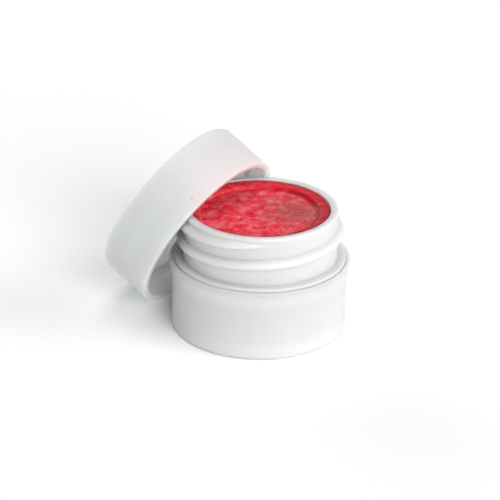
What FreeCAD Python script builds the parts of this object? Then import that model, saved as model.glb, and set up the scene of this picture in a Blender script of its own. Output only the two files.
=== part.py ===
import FreeCAD, Part
import math
import os

from FreeCAD import Rotation, Vector

# Double-walled screw-top paint jar, open and full, with its lid taken off and leaning on the lip.
# Millimetres and degrees. The jar stands on z = 0 with its axis on Z. The lid leans on the -X side
# and its open end faces +X, towards the jar.

# ---- Driving dimensions: outer shell ----
BAND_RADIUS = 20.0         # band round the rim, the jar's widest part
BAND_PROUD = 0.67          # how far it stands out from the wall below it
BAND_HEIGHT = 1.5          # its straight part
BAND_TAPER = 3.0           # height over which it runs out into the wall
BAND_BLEND = 6.0           # radius of the blends at both ends of that taper
RIM_HEIGHT = 16.5          # table to the top of the shell's rim
RIM_WIDTH = 0.85           # band's outside to the counterbore in the rim
RIM_ROUNDING = 0.25
LEDGE_DEPTH = 0.9          # depth of that counterbore, which takes the cup's flange
SHELL_WALL = 1.5
SHELL_DRAFT = 0.1          # how much narrower the shell is at the base
SHELL_FLOOR = 1.5
BASE_ROUNDING = 0.8
FOOT_WIDTH = 2.4           # flat ring that the jar stands on
FOOT_RECESS = 0.5

# ---- Driving dimensions: inner cup ----
NECK_RISE = 11.65          # shell's rim to the top of the lip
NECK_WALL = 1.7
NECK_FILLET = 0.25
LIP_ROUNDING = 0.5
BORE_ROUNDING = 0.35       # inner edge of the lip
FLANGE_PROUD = 0.5         # how far the flange stands above the shell's rim
FLANGE_FIT = 0.1           # flange to the counterbore round it
FLANGE_ROUNDING = 0.45
CUP_WALL = 1.1             # the hidden part, below the flange
CUP_GAP = 1.28             # air between the cup and the shell's wall
CUP_FLOOR_GAP = 1.85       # air between the cup and the shell's floor
CUP_CORNER = 4.0
CUP_DRAFT = 0.7

# ---- Driving dimensions: thread ----
THREAD_PITCH = 4.6
THREAD_TURNS = 1.5
THREAD_HEIGHT = 1.3        # crest above the neck's wall
CREST_ROUNDING = 0.95      # radius of the round crest
FLANK_ANGLE = 30.0         # between a flank and the plane across the axis
THREAD_DROP = 1.53         # lip down to the middle of the thread's upper end
THREAD_TOP_ANGLE = -48.0   # where the upper end lies, about +Z from +X
RUN_OUT = 42.0             # turn over which each end of a thread fades into its wall
THREAD_BITE = 0.4          # how deep a ridge is rooted in its wall
SECTION_STEP = 15.0

# ---- Driving dimensions: lid and liner ----
LID_WALL = 1.55
LID_TOP = 1.0
LID_TOP_ROUNDING = 0.6
LID_RIM_ROUNDING = 0.2
LID_GAP = 0.3              # closed lid's rim to the flange below it
LID_CLEARANCE = 0.15       # crest of the neck's thread to the lid's wall
LID_CREST_CLEARANCE = 0.2  # crest of the lid's thread to the neck
LID_CREST_ROUNDING = 0.8
LID_THREAD_TURNS = 1.2
LID_THREAD_START = 2.4     # rim up to the middle of the thread's lower end
THREAD_PLAY = 0.15         # between the flanks that bear on each other when the lid is tight
LINER_THICKNESS = 0.6
LINER_FIT = 0.35           # liner's edge to the lid's wall
LINER_GAP = 0.05           # liner's back to the lid's top
BEAD_HEIGHT = 0.45         # small ring that keeps the liner in
BEAD_CLEARANCE = 0.1

# ---- Driving dimensions: paint ----
PAINT_FIT = 0.05
PAINT_EDGE_DEPTH = 0.45    # lip down to where the paint meets the cup's wall
PAINT_RING_WIDTH = 2.5     # raised ring that the paint leaves along the wall
PAINT_RING_DEPTH = 0.65    # lip down to the ring's inner edge
PAINT_STEP_WIDTH = 0.7
PAINT_CREASE_DEPTH = 1.6   # lip down to the crease at the foot of that step
PAINT_CENTRE_DEPTH = 1.35

# ---- Driving dimensions: how the lid leans ----
LEAN_ANGLE = 62.3          # lid's axis from upright
LEAN_CLEARANCE = 0.3       # lid's rim to the jar's lip
TABLE_CLEARANCE = 0.25

# ---- Derived: radii, from the band inwards and from the thread out to the lid ----
shell_radius = BAND_RADIUS - BAND_PROUD
shell_bore = shell_radius - SHELL_WALL
counterbore_radius = BAND_RADIUS - RIM_WIDTH
flange_radius = counterbore_radius - FLANGE_FIT
hung_radius = shell_bore - CUP_GAP
cup_bore = hung_radius - CUP_WALL
neck_radius = cup_bore + NECK_WALL
thread_radius = neck_radius + THREAD_HEIGHT
lid_bore = thread_radius + LID_CLEARANCE
lid_radius = lid_bore + LID_WALL
lid_thread_radius = neck_radius + LID_CREST_CLEARANCE

# ---- Derived: heights ----
inner_floor = FOOT_RECESS + SHELL_FLOOR
cup_floor = inner_floor + CUP_FLOOR_GAP + CUP_WALL
ledge_height = RIM_HEIGHT - LEDGE_DEPTH
flange_top = RIM_HEIGHT + FLANGE_PROUD
jar_height = RIM_HEIGHT + NECK_RISE
lid_closed_height = flange_top + LID_GAP
lid_inside = jar_height + LINER_THICKNESS + LINER_GAP - lid_closed_height
lid_height = lid_inside + LID_TOP

# ---- Derived: thread ----
flank_slope = math.tan(math.radians(FLANK_ANGLE))
thread_top = jar_height - THREAD_DROP
thread_bottom_angle = THREAD_TOP_ANGLE - 360 * THREAD_TURNS
thread_bottom = thread_top - THREAD_PITCH * THREAD_TURNS


def rounded_outline(corners):
    """Close an outline through (radius, height, rounding) corners, in the XZ plane."""
    points = [Vector(radius, 0, height) for radius, height, rounding in corners]
    runs = []
    for index, point in enumerate(points):
        rounding = corners[index][2]
        if rounding == 0:
            runs.append((point, None, point))
            continue
        back = (points[index - 1] - point).normalize()
        ahead = (points[(index + 1) % len(points)] - point).normalize()
        half_angle = back.getAngle(ahead) / 2
        inward = (back + ahead).normalize()
        reach = rounding / math.tan(half_angle)
        middle = point + inward * (rounding / math.sin(half_angle) - rounding)
        runs.append((point + back * reach, middle, point + ahead * reach))
    edges = []
    for index, (start, middle, end) in enumerate(runs):
        if middle is not None:
            edges.append(Part.Arc(start, middle, end).toShape())
        next_start = runs[(index + 1) % len(runs)][0]
        if end.distanceToPoint(next_start) > 1e-6:
            edges.append(Part.LineSegment(end, next_start).toShape())
    return Part.Wire(edges)


def turned(corners):
    """Revolve a rounded outline about Z."""
    face = Part.Face(rounded_outline(corners))
    return face.revolve(Vector(0, 0, 0), Vector(0, 0, 1), 360)


def half_crest(rounding):
    """Half the width that a round crest's flanks would leave flat if they ran up to its height."""
    flank = math.radians(FLANK_ANGLE)
    return rounding * (1 - math.sin(flank)) / math.cos(flank)


def ridge_section(root, outward, depth, rounding, middle, angle):
    """A ridge's section at one angle: two flanks joined by a round crest, closed at its root."""
    flank = math.radians(FLANK_ANGLE)
    side_depth = rounding * (1 - math.sin(flank))
    side_width = rounding * math.cos(flank)
    root_width = half_crest(rounding) + flank_slope * depth

    def place(rise, along):
        radius = root + outward * rise
        turn = math.radians(angle)
        return Vector(radius * math.cos(turn), radius * math.sin(turn), middle + along)

    foot, head = place(0, -root_width), place(0, root_width)
    lower, upper = place(depth - side_depth, -side_width), place(depth - side_depth, side_width)
    return Part.Wire([
        Part.LineSegment(foot, lower).toShape(),
        Part.Arc(lower, place(depth, 0), upper).toShape(),
        Part.LineSegment(upper, head).toShape(),
        Part.LineSegment(head, foot).toShape(),
    ])


def thread_ridge(wall, crest, rounding, start_angle, start_height, turns):
    """One thread ridge on a round wall, shrinking into the wall at both ends.

    The crest lies outside the wall's radius on a neck and inside it in a lid."""
    outward = 1 if crest > wall else -1
    root = wall - outward * THREAD_BITE
    full_depth = abs(crest - wall) + THREAD_BITE
    sweep = 360 * turns
    steps = round(sweep / SECTION_STEP)
    sections = []
    for step in range(steps + 1):
        turn = sweep * step / steps
        to_end = min(turn, sweep - turn)
        fade = math.sin(math.pi / 2 * min(1, to_end / RUN_OUT))
        depth = THREAD_BITE + (full_depth - THREAD_BITE) * fade
        sections.append(ridge_section(root, outward, depth, rounding * depth / full_depth,
                                      start_height + THREAD_PITCH * turn / 360, start_angle + turn))
    return Part.makeLoft(sections, True, False)


def outer_shell():
    """Cup-shaped casing with a band round its rim, a counterbored ledge and a foot ring."""
    base_radius = shell_radius - SHELL_DRAFT
    foot_inner = base_radius - BASE_ROUNDING - FOOT_WIDTH
    band_bottom = RIM_HEIGHT - BAND_HEIGHT
    return turned([
        (0, FOOT_RECESS, 0),
        (foot_inner - FOOT_RECESS, FOOT_RECESS, 0),
        (foot_inner, 0, 0),
        (base_radius, 0, BASE_ROUNDING),
        (shell_radius, band_bottom - BAND_TAPER, BAND_BLEND),
        (BAND_RADIUS, band_bottom, BAND_BLEND),
        (BAND_RADIUS, RIM_HEIGHT, RIM_ROUNDING),
        (counterbore_radius, RIM_HEIGHT, RIM_ROUNDING),
        (counterbore_radius, ledge_height, 0),
        (shell_bore, ledge_height, 0),
        (shell_bore - SHELL_DRAFT, inner_floor, SHELL_WALL),
        (0, inner_floor, 0),
    ])


def inner_cup():
    """Threaded neck on a flange; the cup that holds the paint hangs below them."""
    base_bore = cup_bore - CUP_DRAFT
    blank = turned([
        (0, cup_floor - CUP_WALL, 0),
        (base_bore + CUP_WALL, cup_floor - CUP_WALL, CUP_CORNER + CUP_WALL),
        (hung_radius, ledge_height, 0),
        (flange_radius, ledge_height, 0),
        (flange_radius, flange_top, FLANGE_ROUNDING),
        (neck_radius, flange_top, NECK_FILLET),
        (neck_radius, jar_height, LIP_ROUNDING),
        (cup_bore, jar_height, BORE_ROUNDING),
        (base_bore, cup_floor, CUP_CORNER),
        (0, cup_floor, 0),
    ])
    ridge = thread_ridge(neck_radius, thread_radius, CREST_ROUNDING,
                         thread_bottom_angle, thread_bottom, THREAD_TURNS)
    return blank.fuse(ridge)


def paint():
    """Thick paint filling the cup; a raised ring along the wall steps down to a dished middle."""
    radius = cup_bore - PAINT_FIT
    base_radius = radius - CUP_DRAFT
    bottom = cup_floor + PAINT_FIT
    ring_radius = cup_bore - PAINT_RING_WIDTH
    return turned([
        (0, bottom, 0),
        (base_radius, bottom, CUP_CORNER - PAINT_FIT),
        (radius, jar_height - PAINT_EDGE_DEPTH, 0),
        (ring_radius, jar_height - PAINT_RING_DEPTH, PAINT_STEP_WIDTH / 4),
        (ring_radius - PAINT_STEP_WIDTH, jar_height - PAINT_CREASE_DEPTH, PAINT_STEP_WIDTH / 4),
        (0, jar_height - PAINT_CENTRE_DEPTH, 0),
    ])


def lid_blank():
    """The lid without its thread, upright, with its rim at z = 0."""
    liner_face = lid_inside - LINER_GAP - LINER_THICKNESS
    bead_top = liner_face - BEAD_CLEARANCE
    bead_radius = lid_bore - BEAD_HEIGHT
    return turned([
        (lid_radius, 0, LID_RIM_ROUNDING),
        (lid_radius, lid_height, LID_TOP_ROUNDING),
        (0, lid_height, 0),
        (0, lid_inside, 0),
        (lid_bore, lid_inside, 0),
        (lid_bore, bead_top, 0),
        (bead_radius, bead_top - BEAD_HEIGHT, BEAD_HEIGHT / 3),
        (lid_bore, bead_top - 2 * BEAD_HEIGHT, 0),
        (lid_bore, 0, LID_RIM_ROUNDING),
    ])


def lid():
    """The lid with a thread that meets the underside of the neck's thread when it is closed."""
    bearing = (half_crest(CREST_ROUNDING) + half_crest(LID_CREST_ROUNDING) + THREAD_PLAY
               + flank_slope * (thread_radius - lid_thread_radius))
    closed_start = lid_closed_height + LID_THREAD_START
    turns_below_top = (thread_top - bearing - closed_start) / THREAD_PITCH
    start_angle = THREAD_TOP_ANGLE - 360 * turns_below_top
    ridge = thread_ridge(lid_bore, lid_thread_radius, LID_CREST_ROUNDING,
                         start_angle, LID_THREAD_START, LID_THREAD_TURNS)
    return lid_blank().fuse(ridge)


def liner():
    """Foam sealing disc that lies loose inside the lid's top, in the upright lid's frame."""
    radius = lid_bore - LINER_FIT
    back = lid_inside - LINER_GAP
    return turned([
        (0, back - LINER_THICKNESS, 0),
        (radius, back - LINER_THICKNESS, 0),
        (radius, back, 0),
        (0, back, 0),
    ])


def leaning_height():
    """Height of the leaning rim's centre that sets its rounded edge on the table."""
    lean = math.radians(LEAN_ANGLE)
    rounding_loss = LID_RIM_ROUNDING * (math.sin(lean) + math.cos(lean) - 1)
    return TABLE_CLEARANCE + lid_radius * math.sin(lean) - rounding_loss


def leaning_placement(offset):
    """Placement of the upright lid's frame for a rim centre at x = -offset."""
    centre = Vector(-offset, 0, leaning_height())
    return FreeCAD.Placement(centre, Rotation(Vector(0, 1, 0), -LEAN_ANGLE))


def leaning_offset():
    """Slide the lid in towards the jar until it is one clearance from the lip."""
    lip = turned([
        (cup_bore, flange_top, 0),
        (neck_radius, flange_top, 0),
        (neck_radius, jar_height, LIP_ROUNDING),
        (cup_bore, jar_height, 0),
    ])
    cap = lid_blank()
    offset = lid_radius + BAND_RADIUS
    room = offset
    while room > 0.002:
        cap.Placement = leaning_placement(offset)
        room = cap.distToShape(lip)[0] - LEAN_CLEARANCE
        offset -= room
    return offset


def main():
    os.makedirs("parts", exist_ok=True)
    lean = leaning_placement(leaning_offset())
    leaning = {"lid": lid(), "liner": liner()}
    for piece in leaning.values():
        piece.Placement = lean
    standing = {"outer_shell": outer_shell(), "inner_cup": inner_cup(), "paint": paint()}
    for name, shape in {**standing, **leaning}.items():
        shape.exportStep("parts/" + name + ".step")
        box = shape.BoundBox
        print(name, "valid", shape.isValid(), "solids", len(shape.Solids),
              "volume %.1f" % shape.Volume,
              "x %.2f..%.2f y %.2f..%.2f z %.2f..%.2f" % (box.XMin, box.XMax, box.YMin,
                                                         box.YMax, box.ZMin, box.ZMax))
    print("lid rim centre", lean.Base, "axis", lean.Rotation.multVec(Vector(0, 0, 1)))


if __name__ == "__main__":
    main()
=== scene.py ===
import math

import bpy
from bpy.props import FloatProperty, FloatVectorProperty, IntProperty, PointerProperty
from mathutils import Matrix, Vector


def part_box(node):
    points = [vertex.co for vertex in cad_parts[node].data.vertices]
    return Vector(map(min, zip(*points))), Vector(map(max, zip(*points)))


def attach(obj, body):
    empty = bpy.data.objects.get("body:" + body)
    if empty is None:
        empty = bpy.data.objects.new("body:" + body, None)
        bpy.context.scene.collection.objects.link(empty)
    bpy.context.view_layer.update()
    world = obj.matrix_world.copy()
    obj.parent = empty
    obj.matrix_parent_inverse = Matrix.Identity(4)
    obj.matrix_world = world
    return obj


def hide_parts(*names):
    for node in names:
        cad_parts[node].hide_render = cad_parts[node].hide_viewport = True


bl_info = {
    "name": "Open paint jar",
    "version": (1, 0, 0),
    "blender": (4, 5, 0),
    "location": "View3D > Sidebar > Paint jar",
    "description": "Dresses a white screw-top jar of glitter paint and sets its studio stage",
    "category": "Object",
}

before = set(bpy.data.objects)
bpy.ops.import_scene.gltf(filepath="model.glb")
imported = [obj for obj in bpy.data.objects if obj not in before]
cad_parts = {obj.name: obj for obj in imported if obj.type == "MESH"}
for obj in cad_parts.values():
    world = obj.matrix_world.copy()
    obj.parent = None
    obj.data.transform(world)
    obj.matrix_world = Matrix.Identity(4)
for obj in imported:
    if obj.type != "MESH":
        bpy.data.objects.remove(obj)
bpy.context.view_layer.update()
MM = 0.001


# ---- Helpers ----

def linear(hex_colour):
    """An sRGB hex colour as the linear RGB that Blender's sockets take."""
    channels = [int(hex_colour[i:i + 2], 16) / 255 for i in (1, 3, 5)]
    return [c / 12.92 if c <= 0.04045 else ((c + 0.055) / 1.055) ** 2.4 for c in channels]


def opaque(colour):
    return (*colour, 1.0)


def set_inputs(node, operands=(), **inputs):
    """Set or link a node's inputs: those named alike in order, as operands, the others by name."""
    sockets = list(zip(node.inputs, operands))
    sockets += [(node.inputs[name.replace("_", " ")], value) for name, value in inputs.items()]
    for socket, value in sockets:
        if isinstance(value, bpy.types.NodeSocket):
            node.id_data.links.new(value, socket)
        else:
            socket.default_value = value


def add_node(tree, kind, settings=None, operands=(), **inputs):
    """Add a shader node, set its properties, and set or link its inputs."""
    node = tree.nodes.new(kind)
    for name, value in (settings or {}).items():
        setattr(node, name, value)
    set_inputs(node, operands, **inputs)
    return node


def new_material(name):
    """An empty node material and its Principled shader."""
    material = bpy.data.materials.new(name)
    material.use_nodes = True
    return material, material.node_tree, material.node_tree.nodes["Principled BSDF"]


def set_ramp(node, stops):
    """Give a colour ramp its (position, colour) stops."""
    ramp = node.color_ramp
    while len(ramp.elements) < len(stops):
        ramp.elements.new(0.5)
    for element, (position, colour) in zip(ramp.elements, stops):
        element.position = position
        element.color = opaque(colour)


def seen_directly(tree):
    """1 where the camera, a gloss or a clear piece shows a background, 0 where it only lights."""
    path = add_node(tree, "ShaderNodeLightPath")
    seen = add_node(tree, "ShaderNodeMath", {"operation": "MAXIMUM"},
                    (path.outputs["Is Camera Ray"], path.outputs["Is Glossy Ray"]))
    shown = add_node(tree, "ShaderNodeMath", {"operation": "MAXIMUM"},
                     (seen.outputs["Value"], path.outputs["Is Transmission Ray"]))
    return shown.outputs["Value"]


def dress(node_name, material):
    """Give a CAD node its finished material."""
    for material_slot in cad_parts[node_name].material_slots:
        material_slot.material = material


def steps(count):
    """Even shares from just above 0 up to 1."""
    return [(index + 1) / count for index in range(count)]


def facing(azimuth, elevation):
    """Unit vector from the jar to something at this place round it; azimuth 0 is on -Y."""
    return Vector((math.sin(azimuth) * math.cos(elevation),
                   -math.cos(azimuth) * math.cos(elevation), math.sin(elevation)))


def deselect_all():
    if bpy.context.object and bpy.context.object.mode != "OBJECT":
        bpy.ops.object.mode_set(mode="OBJECT")
    bpy.ops.object.select_all(action="DESELECT")


# ---- Sizes, colours and light that a user would change ----

class PaintJarPaint(bpy.types.PropertyGroup):
    climb: FloatProperty(
        name="Climb", description="How far the paint climbs the wall above its box",
        default=0.3 * MM, unit="LENGTH")
    ring_width: FloatProperty(
        name="Ring width", description="Raised ring that the paint leaves along the wall",
        default=1.7 * MM, unit="LENGTH")
    ring_shift: FloatProperty(
        name="Ring shift", description="How far the ring's inner edge sits off the jar's axis",
        default=1.0 * MM, unit="LENGTH")
    ring_turn: FloatProperty(
        name="Ring turn", description="Side of the jar on which the ring is widest",
        default=math.radians(195), subtype="ANGLE")
    # Painted shade: side of the jar where the crease faces away from the light, so its painted
    # shade is strongest there
    crease_shade_turn: FloatProperty(
        name="Crease turn", description="Side of the jar on which the crease is deepest in colour",
        default=math.radians(110), subtype="ANGLE")
    ring_fall: FloatProperty(
        name="Ring fall", description="How far the ring falls from the wall to its inner edge",
        default=0.2 * MM, unit="LENGTH")
    step_width: FloatProperty(
        name="Step width", description="Width of the slope inside the ring",
        default=0.8 * MM, unit="LENGTH")
    step_depth: FloatProperty(
        name="Step depth", description="Ring's inner edge down to the crease at the slope's foot",
        default=0.75 * MM, unit="LENGTH")
    middle_rise: FloatProperty(
        name="Middle rise", description="How far the middle stands above the crease",
        default=0.3 * MM, unit="LENGTH")
    lump_height: FloatProperty(
        name="Lump height", description="Height of the soft lumps in the stirred surface",
        default=0.28 * MM, unit="LENGTH")
    lump_size: FloatProperty(
        name="Lump size", description="Distance between the soft lumps",
        default=3.2 * MM, unit="LENGTH")
    clot_height: FloatProperty(
        name="Clot height", description="Height of the small clots of glitter",
        default=0.09 * MM, unit="LENGTH")
    clot_size: FloatProperty(
        name="Clot size", description="Distance between the clots",
        default=1.1 * MM, unit="LENGTH")
    segments: IntProperty(
        name="Segments", description="Faces round the jar's axis", default=160, min=32)
    red: FloatVectorProperty(
        name="Red", description="The gel's own red",
        subtype="COLOR", size=3, default=linear("#F02E42"))
    deep_red: FloatVectorProperty(
        name="Deep red", description="Where the gel is thick and clear of glitter",
        subtype="COLOR", size=3, default=linear("#DD2435"))
    pink: FloatVectorProperty(
        name="Pink", description="Where pale glitter lies thick",
        subtype="COLOR", size=3, default=linear("#EE6874"))
    # Painted reflection: the glitter's bronze tone, laid in one broad patch on one side of the
    # paint
    bronze: FloatVectorProperty(
        name="Bronze", description="Where the glitter turns its bronze side up",
        subtype="COLOR", size=3, default=linear("#8E4C44"))
    # Painted shade: this dark red is painted into the crease and along the wall, where shade falls
    crease_shade_red: FloatVectorProperty(
        name="Crease red", description="The thick gel at the foot of the ring's slope",
        subtype="COLOR", size=3, default=linear("#A81226"))
    bronze_centre: FloatVectorProperty(
        name="Bronze centre", description="Middle of the patch of bronze glitter",
        subtype="TRANSLATION", size=3, default=(7.5 * MM, 5.0 * MM, 0))
    bronze_reach: FloatProperty(
        name="Bronze reach", description="Radius of the patch of bronze glitter",
        default=11.5 * MM, unit="LENGTH")
    # Painted highlight: this pale colour is laid on as glints, on single flakes and at the palest
    # patches
    flake: FloatVectorProperty(
        name="Flake", description="Single flakes that catch the light",
        subtype="COLOR", size=3, default=linear("#F6A9A6"))


class PaintJarPlastic(bpy.types.PropertyGroup):
    white: FloatVectorProperty(
        name="White", description="The shell's polypropylene",
        subtype="COLOR", size=3, default=linear("#EDEDEB"))
    # Painted shade: the same polypropylene as the shell, darkened and tinted cyan against the
    # paint's red glow
    lid_shaded_white: FloatVectorProperty(
        name="Lid white", description="The lid's polypropylene, a little duller",
        subtype="COLOR", size=3, default=linear("#DADFDF"))
    # Painted shade: the same polypropylene as the shell, darkened
    cup_shaded_white: FloatVectorProperty(
        name="Cup white", description="The cup's polypropylene, a shade duller",
        subtype="COLOR", size=3, default=linear("#D8D8D8"))
    speck: FloatVectorProperty(
        name="Speck", description="Small grey inclusions in the plastic",
        subtype="COLOR", size=3, default=linear("#C4C4C2"))
    scatter: FloatProperty(
        name="Scatter", description="How far light travels in the shell",
        default=7.0 * MM, unit="LENGTH")
    lid_scatter: FloatProperty(
        name="Lid scatter", description="How far light travels in the lid",
        default=7.0 * MM, unit="LENGTH")
    cup_scatter: FloatProperty(
        name="Cup scatter", description="How far light travels in the cup, which has more filler",
        default=2.5 * MM, unit="LENGTH")
    roughness: FloatProperty(
        name="Roughness", description="Satin of the moulded surface", default=0.42, min=0, max=1)
    foam: FloatVectorProperty(
        name="Foam", description="The liner's closed-cell foam",
        subtype="COLOR", size=3, default=linear("#E6E6E2"))


# Large soft boxes round the table, most of them low, as walls of white card stand round a set:
# azimuth and elevation seen from the jar, and the light that each one lends a sheet facing it.
LAMPS = {
    "soft_box_front": (math.radians(56), math.radians(20), 0.75),
    "soft_box_back_right": (math.radians(120), math.radians(30), 0.34),
    "soft_box_left": (math.radians(-112), math.radians(14), 0.36),
    "soft_box_above": (0.0, math.radians(90), 0.27),
}


class PaintJarStage(bpy.types.PropertyGroup):
    azimuth: FloatProperty(
        name="View azimuth", description="Camera's place round the jar, 0 looks along +Y",
        default=math.radians(34.5), subtype="ANGLE")
    elevation: FloatProperty(
        name="View elevation", description="Camera's height above the table",
        default=math.radians(24.85), subtype="ANGLE")
    roll: FloatProperty(
        name="View roll", description="Turn of the camera about its line of sight",
        default=math.radians(1.09), subtype="ANGLE")
    distance: FloatProperty(
        name="View distance", description="Camera to the point that it looks at",
        default=725.7 * MM, unit="LENGTH")
    aim: FloatVectorProperty(
        name="View aim", description="Point that the camera looks at",
        subtype="TRANSLATION", size=3, default=(-5.64 * MM, 4.32 * MM, 14.57 * MM))
    lens: FloatProperty(
        name="Lens", description="Focal length on a 36 mm sensor, in millimetres", default=234.0)
    floor_size: FloatProperty(
        name="Floor size", description="Side of the white table top", default=6.0, unit="LENGTH")
    floor_white: FloatVectorProperty(
        name="Floor white", description="Colour of the table top",
        subtype="COLOR", size=3, default=linear("#FDFDFD"))
    floor_lift: FloatProperty(
        name="Floor lift", description="How much brighter the camera sees the table top",
        default=1.13)
    sky: FloatProperty(
        name="Surrounding light", description="Strength of the even light from all round",
        default=0.18)
    light: FloatProperty(
        name="Light", description="Strength of all the soft lamps together", default=0.95)
    softness: FloatProperty(
        name="Softness", description="Apparent size of each soft lamp",
        default=math.radians(36), subtype="ANGLE")


# ---- Materials ----

# White polypropylene.
SHEEN_PATCH = 8 * MM         # its sheen wanders over this, as where the melt cooled unevenly
SHEEN_CHANGE = 0.06          # more and less rough by this
INCLUSION_CELL = 4 * MM      # at most one grey inclusion lies in each cell
INCLUSION_CORE = 0.2 * MM    # radius of an inclusion's full grey
INCLUSION_RIM = 0.4 * MM     # radius at which the grey has faded
EMPTY_CELLS = 0.55           # a cell whose random tone is under this holds none
TOOL_GRAIN = 0.25 * MM       # 0.12 mm off the blasted tool, drawn coarser so that it shows
TOOL_GRAIN_DEPTH = 0.02 * MM


def moulded_polypropylene(name, white, scatter):
    """White polypropylene, injection moulded against a satin-blasted tool.

    Titanium-white and slightly translucent, so grooves stay light and edges glow a little. The
    satin is a fine even grain with faint cloudy changes in sheen. A few grey inclusions show."""
    plastic = bpy.context.scene.paint_jar_plastic
    material, tree, shader = new_material(name)
    place = add_node(tree, "ShaderNodeTexCoord").outputs["Object"]

    cloud = add_node(tree, "ShaderNodeTexNoise", Vector=place, Scale=1 / SHEEN_PATCH, Detail=3.0)
    satin = add_node(tree, "ShaderNodeMapRange", Value=cloud.outputs["Fac"],
                     To_Min=plastic.roughness - SHEEN_CHANGE,
                     To_Max=plastic.roughness + SHEEN_CHANGE)

    cells = add_node(tree, "ShaderNodeTexVoronoi", Vector=place, Scale=1 / INCLUSION_CELL)
    inclusion = add_node(tree, "ShaderNodeMapRange", Value=cells.outputs["Distance"],
                         From_Min=INCLUSION_CORE / INCLUSION_CELL,
                         From_Max=INCLUSION_RIM / INCLUSION_CELL, To_Min=1.0, To_Max=0.0)
    chosen = add_node(tree, "ShaderNodeMath", {"operation": "GREATER_THAN"},
                      (cells.outputs["Color"], EMPTY_CELLS))
    shown = add_node(tree, "ShaderNodeMath", {"operation": "MULTIPLY"},
                     (inclusion.outputs["Result"], chosen.outputs["Value"]))
    colour = add_node(tree, "ShaderNodeMixRGB", Fac=shown.outputs["Value"],
                      Color1=opaque(white), Color2=opaque(plastic.speck))

    grain = add_node(tree, "ShaderNodeTexNoise", Vector=place, Scale=1 / TOOL_GRAIN, Detail=2.0)
    relief = add_node(tree, "ShaderNodeBump", Height=grain.outputs["Fac"],
                      Strength=0.05, Distance=TOOL_GRAIN_DEPTH)

    set_inputs(shader, Base_Color=colour.outputs["Color"], Roughness=satin.outputs["Result"],
               Normal=relief.outputs["Normal"], IOR=1.49, Subsurface_Weight=1.0,
               Subsurface_Scale=scatter, Subsurface_Radius=(1.0, 1.0, 1.0),
               Specular_IOR_Level=0.45)
    return material


# Polyethylene foam.
FOAM_CELL = 0.45 * MM
FOAM_CELL_DEPTH = 0.08 * MM
FOAM_CELL_SHADE = 0.88       # painted shade at the bottom of a cut cell


def closed_cell_foam(name):
    """Expanded polyethylene foam disc: matt, off-white, with small round cells cut at its face and
    painted shade in their bottoms.
    """
    plastic = bpy.context.scene.paint_jar_plastic
    material, tree, shader = new_material(name)
    place = add_node(tree, "ShaderNodeTexCoord").outputs["Object"]
    cells = add_node(tree, "ShaderNodeTexVoronoi", Vector=place, Scale=1 / FOAM_CELL)
    tone = add_node(tree, "ShaderNodeMapRange", Value=cells.outputs["Distance"],
                    To_Min=FOAM_CELL_SHADE, To_Max=1.0)
    colour = add_node(tree, "ShaderNodeMixRGB", {"blend_type": "MULTIPLY"}, Fac=1.0,
                      Color1=opaque(plastic.foam), Color2=tone.outputs["Result"])
    relief = add_node(tree, "ShaderNodeBump", Height=cells.outputs["Distance"],
                      Strength=0.4, Distance=FOAM_CELL_DEPTH)
    set_inputs(shader, Base_Color=colour.outputs["Color"], Normal=relief.outputs["Normal"],
               Roughness=0.85, IOR=1.5)
    return material


# Glitter gel: its patches and flakes.
GLITTER_PATCH = 2.3 * MM     # cloudy patches of pale glitter
BRONZE_PATCH = 1.6 * MM      # patches that break up the bronze
BRONZE_COVER = 1.5           # in the middle of the bronze, before the break-up about halves it
FLAKE = 0.45 * MM            # real flakes are 0.1 mm, drawn coarser so that they show
DULL_FLAKES = 0.75           # share of the flakes that don't catch the light
FLAKE_COVER = 0.28           # how far the brightest painted glint hides the gel
SKIN_PATCH = 0.9 * MM        # unevenness of the wet skin
SKIN_DEPTH = 0.12 * MM
WET_ROUGHNESS = 0.28
DULLED_ROUGHNESS = 0.5       # where flakes lie just under the skin

# Its clear ring: tints and painted shade by the distance from the ring's middle, set off the
# slope's foot.
CLEAR_START = -0.5 * MM
CLEAR_END = 0.6 * MM
CREASE_SHADE_LINE = 0.3 * MM       # where the painted crease shade is darkest
CREASE_SHADE_REACH = 0.9 * MM      # the painted crease shade fades out over this, both ways
WALL_SHADE_START = 2.6 * MM        # painted shade darkens the gel towards the wall from here
WALL_SHADE_END = 0.6 * MM
RING_FAINTEST = (-8 * MM, 0.2)    # place towards the shaded side, and how strongly the ring and its painted shade show there
RING_CLEAREST = (6 * MM, 0.9)


def ring_centre(paint):
    """Middle of the ring's inner edge, which the paint has been pushed off the jar's axis."""
    return -paint.ring_shift * facing(paint.ring_turn, 0.0)


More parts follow.
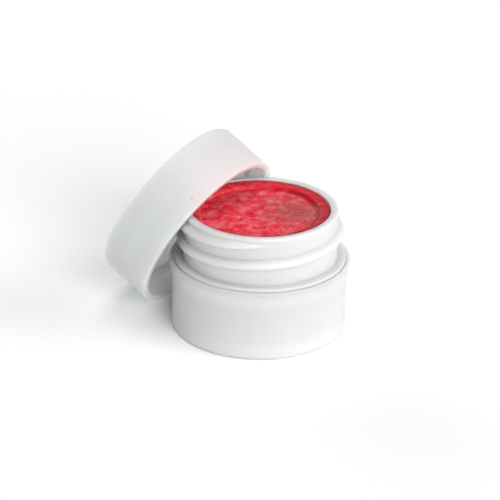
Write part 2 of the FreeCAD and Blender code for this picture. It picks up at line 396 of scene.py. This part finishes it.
def glitter_colour(tree, place, level, patches):
    """Patches of pale glitter over red, a bronze patch painted as the glitter's reflection on one
    side, and single flakes painted as glints on top.
    """
    paint = bpy.context.scene.paint_jar_paint
    # The palest stop is the flake colour, a painted highlight
    body = add_node(tree, "ShaderNodeValToRGB", Fac=patches)
    set_ramp(body, [(0.34, paint.deep_red), (0.46, paint.red), (0.62, paint.pink),
                    (0.82, paint.flake)])

    # Painted reflection: bronze laid round one point on one side, broken up by noise
    reach = add_node(tree, "ShaderNodeVectorMath", {"operation": "DISTANCE"},
                     (level, paint.bronze_centre))
    across = add_node(tree, "ShaderNodeMapRange", Value=reach.outputs["Value"],
                      From_Max=paint.bronze_reach, To_Min=BRONZE_COVER, To_Max=0.0)
    breakup = add_node(tree, "ShaderNodeTexNoise", Vector=place, Scale=1 / BRONZE_PATCH,
                       Detail=3.0)
    bronze_share = add_node(tree, "ShaderNodeMath", {"operation": "MULTIPLY"},
                            (across.outputs["Result"], breakup.outputs["Fac"]))
    tinted = add_node(tree, "ShaderNodeMixRGB", Fac=bronze_share.outputs["Value"],
                      Color1=body.outputs["Color"], Color2=opaque(paint.bronze))

    # Painted glints: single flakes given a fixed light colour
    flakes = add_node(tree, "ShaderNodeTexVoronoi", Vector=place, Scale=1 / FLAKE)
    bright = add_node(tree, "ShaderNodeSeparateColor", Color=flakes.outputs["Color"])
    lit = add_node(tree, "ShaderNodeMapRange", Value=bright.outputs["Red"],
                   From_Min=DULL_FLAKES, From_Max=1.0, To_Min=0.0, To_Max=FLAKE_COVER)
    glitter = add_node(tree, "ShaderNodeMixRGB", Fac=lit.outputs["Result"],
                       Color1=tinted.outputs["Color"], Color2=opaque(paint.flake))
    return glitter.outputs["Color"]


def ring_colour(tree, place, level, glitter, wall):
    """The ring is clear gel that the glitter has sunk out of, with painted shade in its crease and
    at the wall.

    All of it, the painted shade too, shows most on the side where the crease faces away from the
    light."""
    paint = bpy.context.scene.paint_jar_paint
    side = add_node(tree, "ShaderNodeVectorMath", {"operation": "DOT_PRODUCT"},
                    (place, facing(paint.crease_shade_turn, 0.0)))
    faint_place, faint_cover = RING_FAINTEST
    clear_place, clear_cover = RING_CLEAREST
    full = add_node(tree, "ShaderNodeMapRange", Value=side.outputs["Value"],
                    From_Min=faint_place, From_Max=clear_place,
                    To_Min=faint_cover, To_Max=clear_cover).outputs["Result"]

    away = add_node(tree, "ShaderNodeVectorMath", {"operation": "DISTANCE"},
                    (level, ring_centre(paint))).outputs["Value"]
    foot = wall - paint.ring_width - paint.step_width
    clear = add_node(tree, "ShaderNodeMapRange", Value=away, From_Min=foot + CLEAR_START,
                     From_Max=foot + CLEAR_END, To_Max=full)
    ringed = add_node(tree, "ShaderNodeMixRGB", Fac=clear.outputs["Result"],
                      Color1=glitter, Color2=opaque(paint.deep_red))

    # Painted shade: the crease at the slope's foot is darkened in colour
    past_line = add_node(tree, "ShaderNodeMath", {"operation": "SUBTRACT"},
                         (away, foot + CREASE_SHADE_LINE))
    off_line = add_node(tree, "ShaderNodeMath", {"operation": "ABSOLUTE"},
                        (past_line.outputs["Value"],))
    crease = add_node(tree, "ShaderNodeMapRange", Value=off_line.outputs["Value"],
                      From_Max=CREASE_SHADE_REACH, To_Min=full, To_Max=0.0)
    crease_shaded = add_node(tree, "ShaderNodeMixRGB", Fac=crease.outputs["Result"],
                       Color1=ringed.outputs["Color"], Color2=opaque(paint.crease_shade_red))

    # Painted shade: the gel darkens towards the wall, where the lip shades it
    outward = add_node(tree, "ShaderNodeVectorMath", {"operation": "LENGTH"}, (level,))
    thick = add_node(tree, "ShaderNodeMapRange", Value=outward.outputs["Value"],
                     From_Min=wall - WALL_SHADE_START, From_Max=wall - WALL_SHADE_END, To_Max=full)
    wall_shaded = add_node(tree, "ShaderNodeMixRGB", Fac=thick.outputs["Result"],
                     Color1=crease_shaded.outputs["Color"], Color2=opaque(paint.crease_shade_red))
    return wall_shaded.outputs["Color"]


def glitter_gel(name, wall):
    """Thick red gel paint loaded with fine glitter, wet and never levelled.

    Glossy over a red that changes in cloudy patches from clear deep red to pink, where pale
    glitter lies thick, and to bronze in one broad patch, the glitter's bronze tone laid on one
    side as a painted reflection. The wet skin is dulled where flakes lie just under it."""
    material, tree, shader = new_material(name)
    place = add_node(tree, "ShaderNodeTexCoord").outputs["Object"]
    level = add_node(tree, "ShaderNodeVectorMath", {"operation": "MULTIPLY"},
                     (place, (1, 1, 0))).outputs["Vector"]
    patches = add_node(tree, "ShaderNodeTexNoise", Vector=place, Scale=1 / GLITTER_PATCH,
                       Detail=4.0, Roughness=0.6).outputs["Fac"]
    glitter = glitter_colour(tree, place, level, patches)
    colour = ring_colour(tree, place, level, glitter, wall)

    sheen = add_node(tree, "ShaderNodeMapRange", Value=patches,
                     To_Min=WET_ROUGHNESS, To_Max=DULLED_ROUGHNESS)
    skin = add_node(tree, "ShaderNodeTexNoise", Vector=place, Scale=1 / SKIN_PATCH, Detail=3.0)
    relief = add_node(tree, "ShaderNodeBump", Height=skin.outputs["Fac"],
                      Strength=0.5, Distance=SKIN_DEPTH)
    set_inputs(shader, Base_Color=colour, Roughness=sheen.outputs["Result"],
               Normal=relief.outputs["Normal"], IOR=1.36, Specular_IOR_Level=0.12)
    return material


def table_top(name):
    """Matt white laminate table top, plain enough to leave only the jar's shadow."""
    stage = bpy.context.scene.paint_jar_stage
    material, tree, shader = new_material(name)
    lifted = [channel * stage.floor_lift for channel in stage.floor_white]
    white = add_node(tree, "ShaderNodeMixRGB", Fac=seen_directly(tree),
                     Color1=opaque(stage.floor_white), Color2=opaque(lifted))
    set_inputs(shader, Base_Color=white.outputs["Color"], Roughness=0.9, Specular_IOR_Level=0.0)
    return material


# ---- Operators: one for each piece or group of like pieces, and one for the stage ----

class PAINTJAR_OT_mouldings(bpy.types.Operator):
    """Finish the shell, the cup and the lid in satin white polypropylene"""
    bl_idname = "paintjar.finish_mouldings"
    bl_label = "Finish the mouldings"

    def execute(self, context):
        plastic = context.scene.paint_jar_plastic
        dress("outer_shell", moulded_polypropylene("white_polypropylene_satin_moulded",
                                                   plastic.white, plastic.scatter))
        # The cup's white is a shaded copy of the shell's: painted shade
        dress("inner_cup", moulded_polypropylene("white_polypropylene_satin_cup_shaded",
                                                 plastic.cup_shaded_white, plastic.cup_scatter))
        # The lid's white is a shaded copy of the shell's: painted shade
        dress("lid", moulded_polypropylene("white_polypropylene_satin_lid_shaded",
                                           plastic.lid_shaded_white, plastic.lid_scatter))
        return {"FINISHED"}


class PAINTJAR_OT_liner(bpy.types.Operator):
    """Finish the lid's sealing disc in closed-cell foam"""
    bl_idname = "paintjar.finish_liner"
    bl_label = "Finish the liner"

    def execute(self, context):
        dress("liner", closed_cell_foam("polyethylene_foam_closed_cell"))
        return {"FINISHED"}


# How many rings of faces draw each part of the paint's section.
RING_STEPS = 7
SLOPE_STEPS = 7
MIDDLE_STEPS = 25
BASE_STEPS = 8

BASE_ROUNDING = 3.9 * MM     # the cup's floor has it too
BASE_TAPER = 0.985           # foot to wall, as the cup draws in
STIRRED_GROUP = "surface"    # given by name, since applying a modifier frees the group itself
STIRRED_DEPTH = 2.5 * MM     # only the surface is stirred, down to this
CALM_EDGE = 1.2 * MM         # lumps and clots reach their full height this far from the wall
AT_THE_WALL = 0.01 * MM      # nearer than this a point belongs to the wall
CAP_NORMAL = 0.9             # an end face's normal points at least this far up or down


def ring_fall_share(share):
    """Fall along the ring: steep at the wall, then level, then steep again into the slope."""
    return 0.6 * share ** 0.5 + 0.4 * share ** 4


def middle_rise_share(share):
    """Rise from the crease to the middle, all of it in the first third."""
    return min(1.0, 3 * share) ** 0.7


class PAINTJAR_OT_paint(bpy.types.Operator):
    """Model the thick paint with its ring, its crease and its lumpy middle"""
    bl_idname = "paintjar.pour_paint"
    bl_label = "Pour the paint"

    def execute(self, context):
        paint = context.scene.paint_jar_paint
        low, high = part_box("paint")
        radius = high.x
        bpy.ops.mesh.primitive_cylinder_add(
            vertices=paint.segments, radius=radius, depth=high.z - low.z, end_fill_type="NGON",
            location=(0, 0, (high.z + low.z) / 2))
        gel = context.object
        gel.name = "paint_gel"
        bpy.ops.object.transform_apply(location=True, rotation=False, scale=False)
        self.shape_surface(gel, paint, radius)
        self.shape_base(gel)
        bpy.ops.object.mode_set(mode="OBJECT")
        self.stir(gel, paint, high.z)
        bpy.ops.object.shade_smooth()
        gel.data.materials.append(glitter_gel("acrylic_glitter_gel_wet", radius))
        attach(gel, "jar")
        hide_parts("paint")
        return {"FINISHED"}

    def select_end(self, gel, side):
        """Select the cap face that points up (side 1) or down (side -1)."""
        bpy.ops.mesh.select_all(action="DESELECT")
        bpy.ops.object.mode_set(mode="OBJECT")
        for polygon in gel.data.polygons:
            polygon.select = polygon.normal.z * side > CAP_NORMAL
        bpy.ops.object.mode_set(mode="EDIT")

    def shape_surface(self, gel, paint, radius):
        """Inset the top face ring by ring, each one raised or lowered along the section."""
        bpy.ops.object.mode_set(mode="EDIT")
        bpy.ops.mesh.select_mode(type="FACE")
        self.select_end(gel, 1)
        bpy.ops.transform.translate(value=(0, 0, paint.climb))
        reached = 0.0
        height = 0.0
        for inward, level in self.section(paint, radius):
            bpy.ops.mesh.inset(thickness=inward - reached, depth=level - height,
                               use_even_offset=False)
            if inward <= paint.ring_width:
                share = (inward - reached) / paint.ring_width
                bpy.ops.transform.translate(value=share * ring_centre(paint))
            reached = inward
            height = level
        bpy.ops.mesh.poke()

    def section(self, paint, radius):
        """Distances in from the wall and levels below the edge, from the edge to the centre."""
        points = []
        for share in steps(RING_STEPS):
            points.append((paint.ring_width * share, -paint.ring_fall * ring_fall_share(share)))
        for share in steps(SLOPE_STEPS):
            drop = paint.step_depth * (1 - math.cos(math.pi * share)) / 2
            points.append((paint.ring_width + paint.step_width * share, -paint.ring_fall - drop))
        crease = -paint.ring_fall - paint.step_depth
        outer = paint.ring_width + paint.step_width
        for share in steps(MIDDLE_STEPS)[:-1]:
            points.append((outer + (radius - outer) * share,
                           crease + paint.middle_rise * middle_rise_share(share)))
        return points

    def shape_base(self, gel):
        """Draw the foot in and round it, as the cup's floor does."""
        self.select_end(gel, -1)
        bpy.ops.transform.translate(value=(0, 0, BASE_ROUNDING))
        bpy.ops.transform.resize(value=(BASE_TAPER, BASE_TAPER, 1))
        inward = 0.0
        lower = 0.0
        for share in steps(BASE_STEPS):
            turn = math.pi / 2 * share
            width = BASE_ROUNDING * (1 - math.cos(turn))
            drop = BASE_ROUNDING * math.sin(turn)
            bpy.ops.mesh.inset(thickness=width - inward, depth=drop - lower,
                               use_even_offset=False)
            inward = width
            lower = drop

    def stir(self, gel, paint, top):
        """Raise the open surface into soft lumps and small clots, none of them at the wall."""
        bpy.ops.object.modifier_add(type="SUBSURF")
        gel.modifiers[-1].levels = 1
        bpy.ops.object.modifier_apply(modifier=gel.modifiers[-1].name)
        surface = gel.vertex_groups.new(name=STIRRED_GROUP)
        wall = max(vertex.co.xy.length for vertex in gel.data.vertices)
        for vertex in gel.data.vertices:
            inside = wall - vertex.co.xy.length
            if vertex.co.z > top - STIRRED_DEPTH and inside > AT_THE_WALL:
                surface.add([vertex.index], min(1.0, inside / CALM_EDGE), "REPLACE")
        for name, size, height in (("lumps", paint.lump_size, paint.lump_height),
                                   ("clots", paint.clot_size, paint.clot_height)):
            texture = bpy.data.textures.new("paint_" + name, "CLOUDS")
            texture.noise_scale = size
            bpy.ops.object.modifier_add(type="DISPLACE")
            displace = gel.modifiers[-1]
            displace.texture = texture
            displace.texture_coords = "LOCAL"
            displace.direction = "Z"
            displace.mid_level = 0.5
            displace.strength = 2 * height
            displace.vertex_group = STIRRED_GROUP
            bpy.ops.object.modifier_apply(modifier=displace.name)


LAMP_SYMBOL_HEIGHT = 0.5     # keeps the lamps' symbols off the jar; a sun's light has no place
SENSOR_WIDTH = 36            # millimetres, which the lens is given for
VIEW_END = 20                # metres, past the table's far edge


class PAINTJAR_OT_stage(bpy.types.Operator):
    """Lay the white table top, hang the lamps and place the camera"""
    bl_idname = "paintjar.set_stage"
    bl_label = "Set the stage"

    def execute(self, context):
        stage = context.scene.paint_jar_stage
        self.lay_floor(context, stage)
        self.hang_lamps(context, stage)
        self.light_surroundings(context, stage)
        self.place_camera(context, stage)
        context.scene.view_settings.view_transform = "Standard"
        return {"FINISHED"}

    def lay_floor(self, context, stage):
        bpy.ops.mesh.primitive_plane_add(size=stage.floor_size)
        floor = context.object
        floor.name = "table_top"
        floor.data.materials.append(table_top("laminate_matt_white"))

    def hang_lamps(self, context, stage):
        for name, (azimuth, elevation, share) in LAMPS.items():
            bpy.ops.object.light_add(type="SUN", location=(0, 0, LAMP_SYMBOL_HEIGHT))
            lamp = context.object
            lamp.name = name
            lamp.data.energy = stage.light * share * math.pi
            lamp.data.angle = stage.softness
            lamp.rotation_euler = facing(azimuth, elevation).to_track_quat("Z", "Y").to_euler()

    def light_surroundings(self, context, stage):
        """Faint even light from all round, seen as plain white."""
        world = bpy.data.worlds.new("studio")
        world.use_nodes = True
        context.scene.world = world
        strength = add_node(world.node_tree, "ShaderNodeMapRange",
                            Value=seen_directly(world.node_tree), To_Min=stage.sky, To_Max=1.0)
        set_inputs(world.node_tree.nodes["Background"], Color=(1, 1, 1, 1),
                   Strength=strength.outputs["Result"])

    def place_camera(self, context, stage):
        back = facing(stage.azimuth, stage.elevation)
        level = Vector((math.cos(stage.azimuth), math.sin(stage.azimuth), 0))
        upward = back.cross(level)
        right = level * math.cos(stage.roll) + upward * math.sin(stage.roll)
        up = upward * math.cos(stage.roll) - level * math.sin(stage.roll)
        bpy.ops.object.camera_add()
        camera = context.object
        camera.name = "view"
        pose = Matrix((right, up, back)).transposed().to_4x4()
        pose.translation = Vector(stage.aim) + back * stage.distance
        camera.matrix_world = pose
        camera.data.sensor_width = SENSOR_WIDTH
        camera.data.lens = stage.lens
        camera.data.clip_end = VIEW_END
        context.scene.camera = camera


class PAINTJAR_PT_panel(bpy.types.Panel):
    """Buttons and values for the open paint jar"""
    bl_label = "Paint jar"
    bl_idname = "PAINTJAR_PT_panel"
    bl_space_type = "VIEW_3D"
    bl_region_type = "UI"
    bl_category = "Paint jar"

    def draw(self, context):
        layout = self.layout
        for operator in OPERATORS:
            layout.operator(operator.bl_idname)
        for group_name, group in GROUPS.items():
            box = layout.box()
            values = getattr(context.scene, group_name)
            for name in group.__annotations__:
                box.prop(values, name)


GROUPS = {
    "paint_jar_paint": PaintJarPaint,
    "paint_jar_plastic": PaintJarPlastic,
    "paint_jar_stage": PaintJarStage,
}
OPERATORS = (PAINTJAR_OT_mouldings, PAINTJAR_OT_liner, PAINTJAR_OT_paint, PAINTJAR_OT_stage)


def register():
    for cls in (*GROUPS.values(), *OPERATORS, PAINTJAR_PT_panel):
        bpy.utils.register_class(cls)
    for group_name, group in GROUPS.items():
        setattr(bpy.types.Scene, group_name, PointerProperty(type=group))


def unregister():
    for group_name in GROUPS:
        delattr(bpy.types.Scene, group_name)
    for cls in (PAINTJAR_PT_panel, *reversed(OPERATORS), *reversed(GROUPS.values())):
        bpy.utils.unregister_class(cls)


def main():
    register()
    for call in (bpy.ops.paintjar.finish_mouldings, bpy.ops.paintjar.finish_liner,
                 bpy.ops.paintjar.pour_paint, bpy.ops.paintjar.set_stage):
        deselect_all()
        call()


if __name__ == "__main__":
    main()
